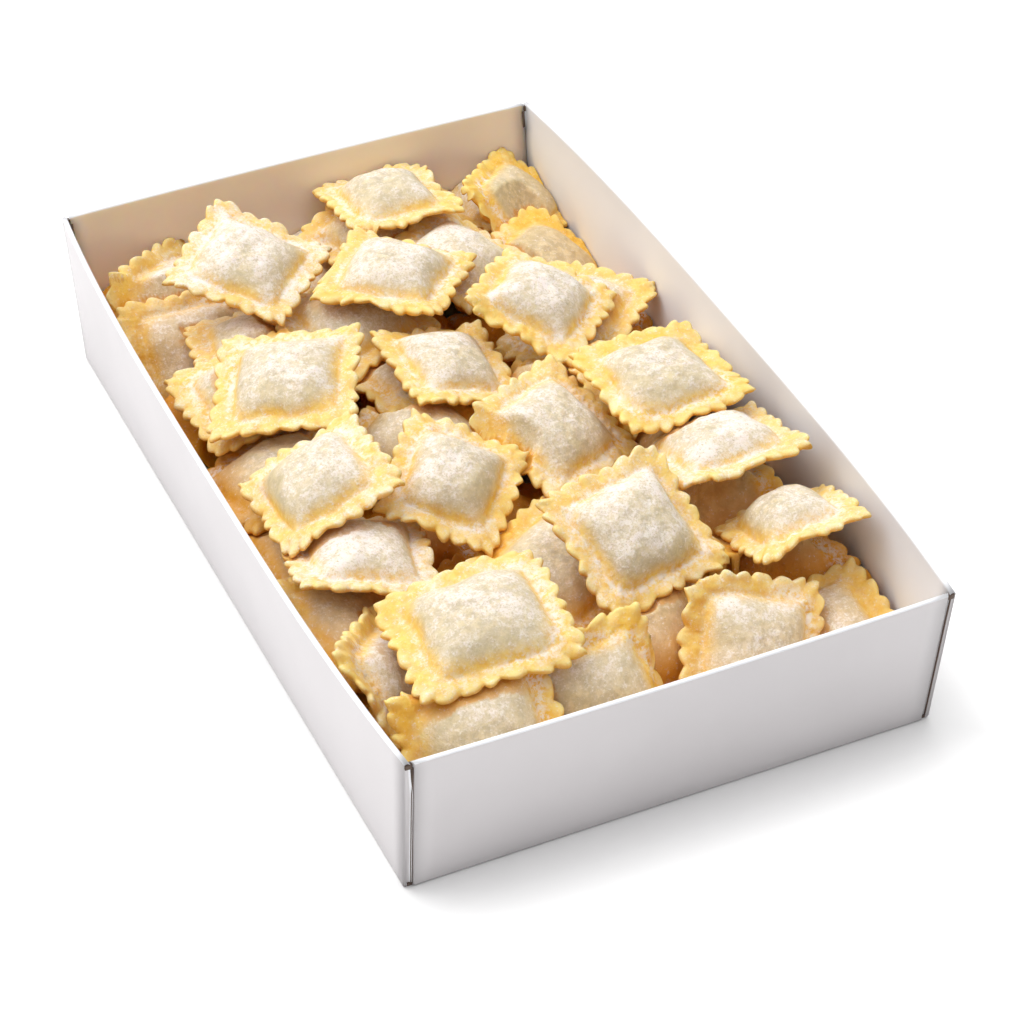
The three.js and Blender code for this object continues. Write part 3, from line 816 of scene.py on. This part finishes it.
def floor_panel():
    points, faces = [], []
    count = 32
    for z in (0.3, FLOOR):
        for along in np.linspace(-1, 1, count + 1):
            half_width, half_length, side, _ = box_size(z)
            x = half_width - 1.0 + side * side_shape(along)
            y = along * (half_length - 1.0)
            points += [(-x, y, z), (x, y, z)]
    row = 2 * (count + 1)
    for i in range(count):
        a = 2 * i
        faces.append((a, a + 2, a + 3, a + 1))
        faces.append((row + a, row + a + 1, row + a + 3, row + a + 2))
        faces.append((a, row + a, row + a + 2, a + 2))
        faces.append((a + 1, a + 3, row + a + 3, row + a + 1))
    faces.append((0, 1, row + 1, row))
    last = 2 * count
    faces.append((last, row + last, row + last + 1, last + 1))
    return points, faces


def make_box():
    pieces = [
        ("card_wall_left", side_wall(-1), (CARD, INNER_CARD)),
        ("card_wall_right", side_wall(1), (CARD, INNER_CARD)),
        ("card_wall_front", end_wall(-1), (CARD, INNER_CARD)),
        ("card_wall_back", end_wall(1), (CARD, INNER_CARD, THIN_CARD)),
        ("card_floor", floor_panel(), (INNER_CARD,)),
    ]
    gap_start = STRIP_WIDTH - 0.3
    gap_stop = STRIP_WIDTH + PANEL_GAP + 0.2
    proud = STRIP_DEPTH - 0.04
    rim_opening = BOX_HEIGHT - 2.4
    for end, y in (("front", -1), ("back", 1)):
        for side, x in (("left", -1), ("right", 1)):
            # dark sheets, painted shade: in the gap beside the end panel and in the openings at the
            # top and the foot of the corner
            gap = upright(x, y, gap_start, gap_stop, 0.6, rim_opening, STRIP_DEPTH + 0.1)
            opening = upright(x, y, 0.35, STRIP_WIDTH - 0.1, rim_opening, BOX_HEIGHT - 0.7, proud)
            foot = upright(x, y, 1.2, STRIP_WIDTH + 0.2, 0.3, 1.3, proud)
            pieces.append((f"corner_gap_{end}_{side}", gap, (CARD_EDGE_AND_HOLE_SHADE,)))
            pieces.append((f"rim_opening_{end}_{side}", opening, (CARD_EDGE_AND_HOLE_SHADE,)))
            pieces.append((f"foot_opening_{end}_{side}", foot, (CARD_EDGE_AND_HOLE_SHADE,)))
    for end, y in (("front", -1), ("back", 1)):
        seam = upright(1, y, 1.15, 1.4, 1.3, rim_opening, proud)
        pieces.append((f"layer_seam_{end}", seam, (CARD_EDGE_AND_HOLE_SHADE,)))
    points_round = len(wall_profile())
    for name, made, cards in pieces:
        piece = mesh_object(name, *made, cards)
        # the rim's fold and the inside take the whiter card, the outside the greyer one that is its
        # painted shade
        if len(cards) > 1:
            for face in piece.data.polygons:
                place = face.index % points_round
                if place >= RIM_STARTS:
                    face.material_index = 1 if place < RIM_ENDS else len(cards) - 1
        fix_normals(piece)
        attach(piece, "root")
        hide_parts("card_box")


def fix_normals(piece):
    shell = bmesh.new()
    shell.from_mesh(piece.data)
    bmesh.ops.recalc_face_normals(shell, faces=shell.faces)
    shell.to_mesh(piece.data)
    shell.free()
    piece.data.update()


# The ravioli


def dress(name, piece_number, made, node):
    """Makes the mesh of one ravioli and paints where its flour and its shade lie."""
    piece = mesh_object(name, made["points"], made["faces"], [DOUGH])
    normals = np.zeros(len(piece.data.vertices) * 3, dtype=np.float32)
    piece.data.vertex_normals.foreach_get("vector", normals)
    facing_up = np.clip(normals.reshape(-1, 3)[:, 2], 0, 1)
    # painted shade: how far the rim's faces turn away from above
    side = (1 - smooth_step(0.15, 0.75, facing_up)) * made["masks"].pop("rim")
    height = made["points"][:, 2]
    deep = 1 - smooth_step(SHADED_BELOW, LIT_ABOVE, height)
    if node != "lower_ravioli":
        deep *= 0.25
    masks = made["masks"]
    sheltered = made["sheltered"]
    on_rim = 0.2 + 0.4 * chance(piece_number, 40)
    share = on_rim + (1 - on_rim) * smooth_step(0, 0.4, masks["pillow"]) + 0.4 * masks["crease"]
    dusting = (0.2 + 0.8 * facing_up**2) * share * (1 - deep)
    dusting = dusting * (0.75 + 0.5 * chance(piece_number, 41)) * (1 - 0.85 * sheltered)
    if node == "lower_ravioli":
        dusting *= 0.5
    if piece_number in FOLDED:
        dusting *= FOLDED_DUSTING
    for mask, values in masks.items():
        paint(piece, mask, values)
    paint(piece, "dusting", dusting)
    # painted shade: amber where the piece lies deep or close under another
    paint(piece, "depth_shade", np.maximum(deep, 0.7 * sheltered))
    paint(piece, "side", side)
    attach(piece, "root")
    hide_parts(node)


def fill_box():
    ceiling = Ceiling()
    for order, (name, *place) in enumerate(LAYOUT, start=1):
        made = lay_ravioli(order, place, ceiling, TOP_CELLS)
        dress(name + "_dough", order, made, name)
    for order, place in enumerate(BURIED, start=len(LAYOUT) + 1):
        made = lay_ravioli(order, place, ceiling, GAP_CELLS)
        dress(f"buried_{order - len(LAYOUT):02d}_dough", order, made, "lower_ravioli")
    order = len(LAYOUT) + len(BURIED)
    for row in range(6):
        for column in range(5):
            order += 1
            place = (
                -60 + 30 * column + spread(order, 15, 4),
                -108 + 43 * row + spread(order, 16, 6),
                20 + spread(order, 17, 4),
                spread(order, 18, 14),
                spread(order, 19, 14),
                spread(order, 20, 45),
                44,
                44,
            )
            made = lay_ravioli(order, place, ceiling, DEEP_CELLS)
            dress(f"deep_{row}_{column}_dough", order, made, "lower_ravioli")


make_box()
fill_box()

# The floor, the light and the camera

floor = mesh_object(
    "floor",
    [(-6000, -6000, 0), (6000, -6000, 0), (6000, 6000, 0), (-6000, 6000, 0)],
    [(0, 1, 2, 3)],
    [pale_floor()],
)


def soft_light(name, place, target, size, power):
    data = bpy.data.lights.new(name, "AREA")
    data.shape = "DISK"
    data.size = size
    data.energy = power
    light = bpy.data.objects.new(name, data)
    light.location = place
    light.rotation_euler = (Vector(target) - Vector(place)).to_track_quat("-Z", "Y").to_euler()
    bpy.context.scene.collection.objects.link(light)


soft_light("window", (-0.62, 0.42, 1.28), (0, 0, 0), 1.1, 5.6)


# Where the sky is brightest, how bright it is there and how bright all round
SKY_MIDDLE = (-0.1, 0.3, 0.95)
SKY_STRENGTH = 2.08
SKY_FILL = 0.2


def bright_sky():
    """Soft light from everywhere, most of it from above and behind on the left."""
    world = bpy.data.worlds.new("room")
    world.use_nodes = True
    tree = world.node_tree
    toward = add(tree, "TexCoord", out="Generated")
    facing = {0: toward, 1: SKY_MIDDLE}
    facing = add(tree, "VectorMath", facing, out="Value", operation="DOT_PRODUCT")
    ahead = add(tree, "Math", {0: facing, 1: 0.0}, **LARGER)
    lobe = add(tree, "Math", {0: ahead, 1: 2.0}, operation="POWER")
    strength = add(tree, "Math", {0: lobe, 1: SKY_STRENGTH, 2: SKY_FILL}, **TIMES_PLUS)
    background = tree.nodes["Background"]
    background.inputs["Color"].default_value = (1, 1, 1, 1)
    tree.links.new(strength, background.inputs["Strength"])
    bpy.context.scene.world = world


bright_sky()

# The photograph's camera, worked out from the box's corners
CAMERA_AZIMUTH = -23.53
CAMERA_ELEVATION = 38.47
CAMERA_ROLL = -1.07
CAMERA_PLACE = (-0.2999, -0.7146, 0.6208)
FOCAL_LENGTH = 116.4

camera_data = bpy.data.cameras.new("camera")
camera_data.sensor_width = 36
camera_data.lens = FOCAL_LENGTH
camera_data.clip_start = 0.05
camera = bpy.data.objects.new("camera", camera_data)
azimuth, elevation, roll = (math.radians(a) for a in (CAMERA_AZIMUTH, CAMERA_ELEVATION, CAMERA_ROLL))
right = Vector((math.cos(azimuth), math.sin(azimuth), 0))
back = Vector((
    math.sin(azimuth) * math.cos(elevation),
    -math.cos(azimuth) * math.cos(elevation),
    math.sin(elevation),
))
up = back.cross(right)
rolled_right = right * math.cos(roll) + up * math.sin(roll)
rolled_up = up * math.cos(roll) - right * math.sin(roll)
turn = Matrix((rolled_right, rolled_up, back)).transposed()
camera.matrix_world = Matrix.Translation(CAMERA_PLACE) @ turn.to_4x4()
bpy.context.scene.collection.objects.link(camera)
bpy.context.scene.camera = camera
bpy.context.scene.view_settings.view_transform = "Standard"
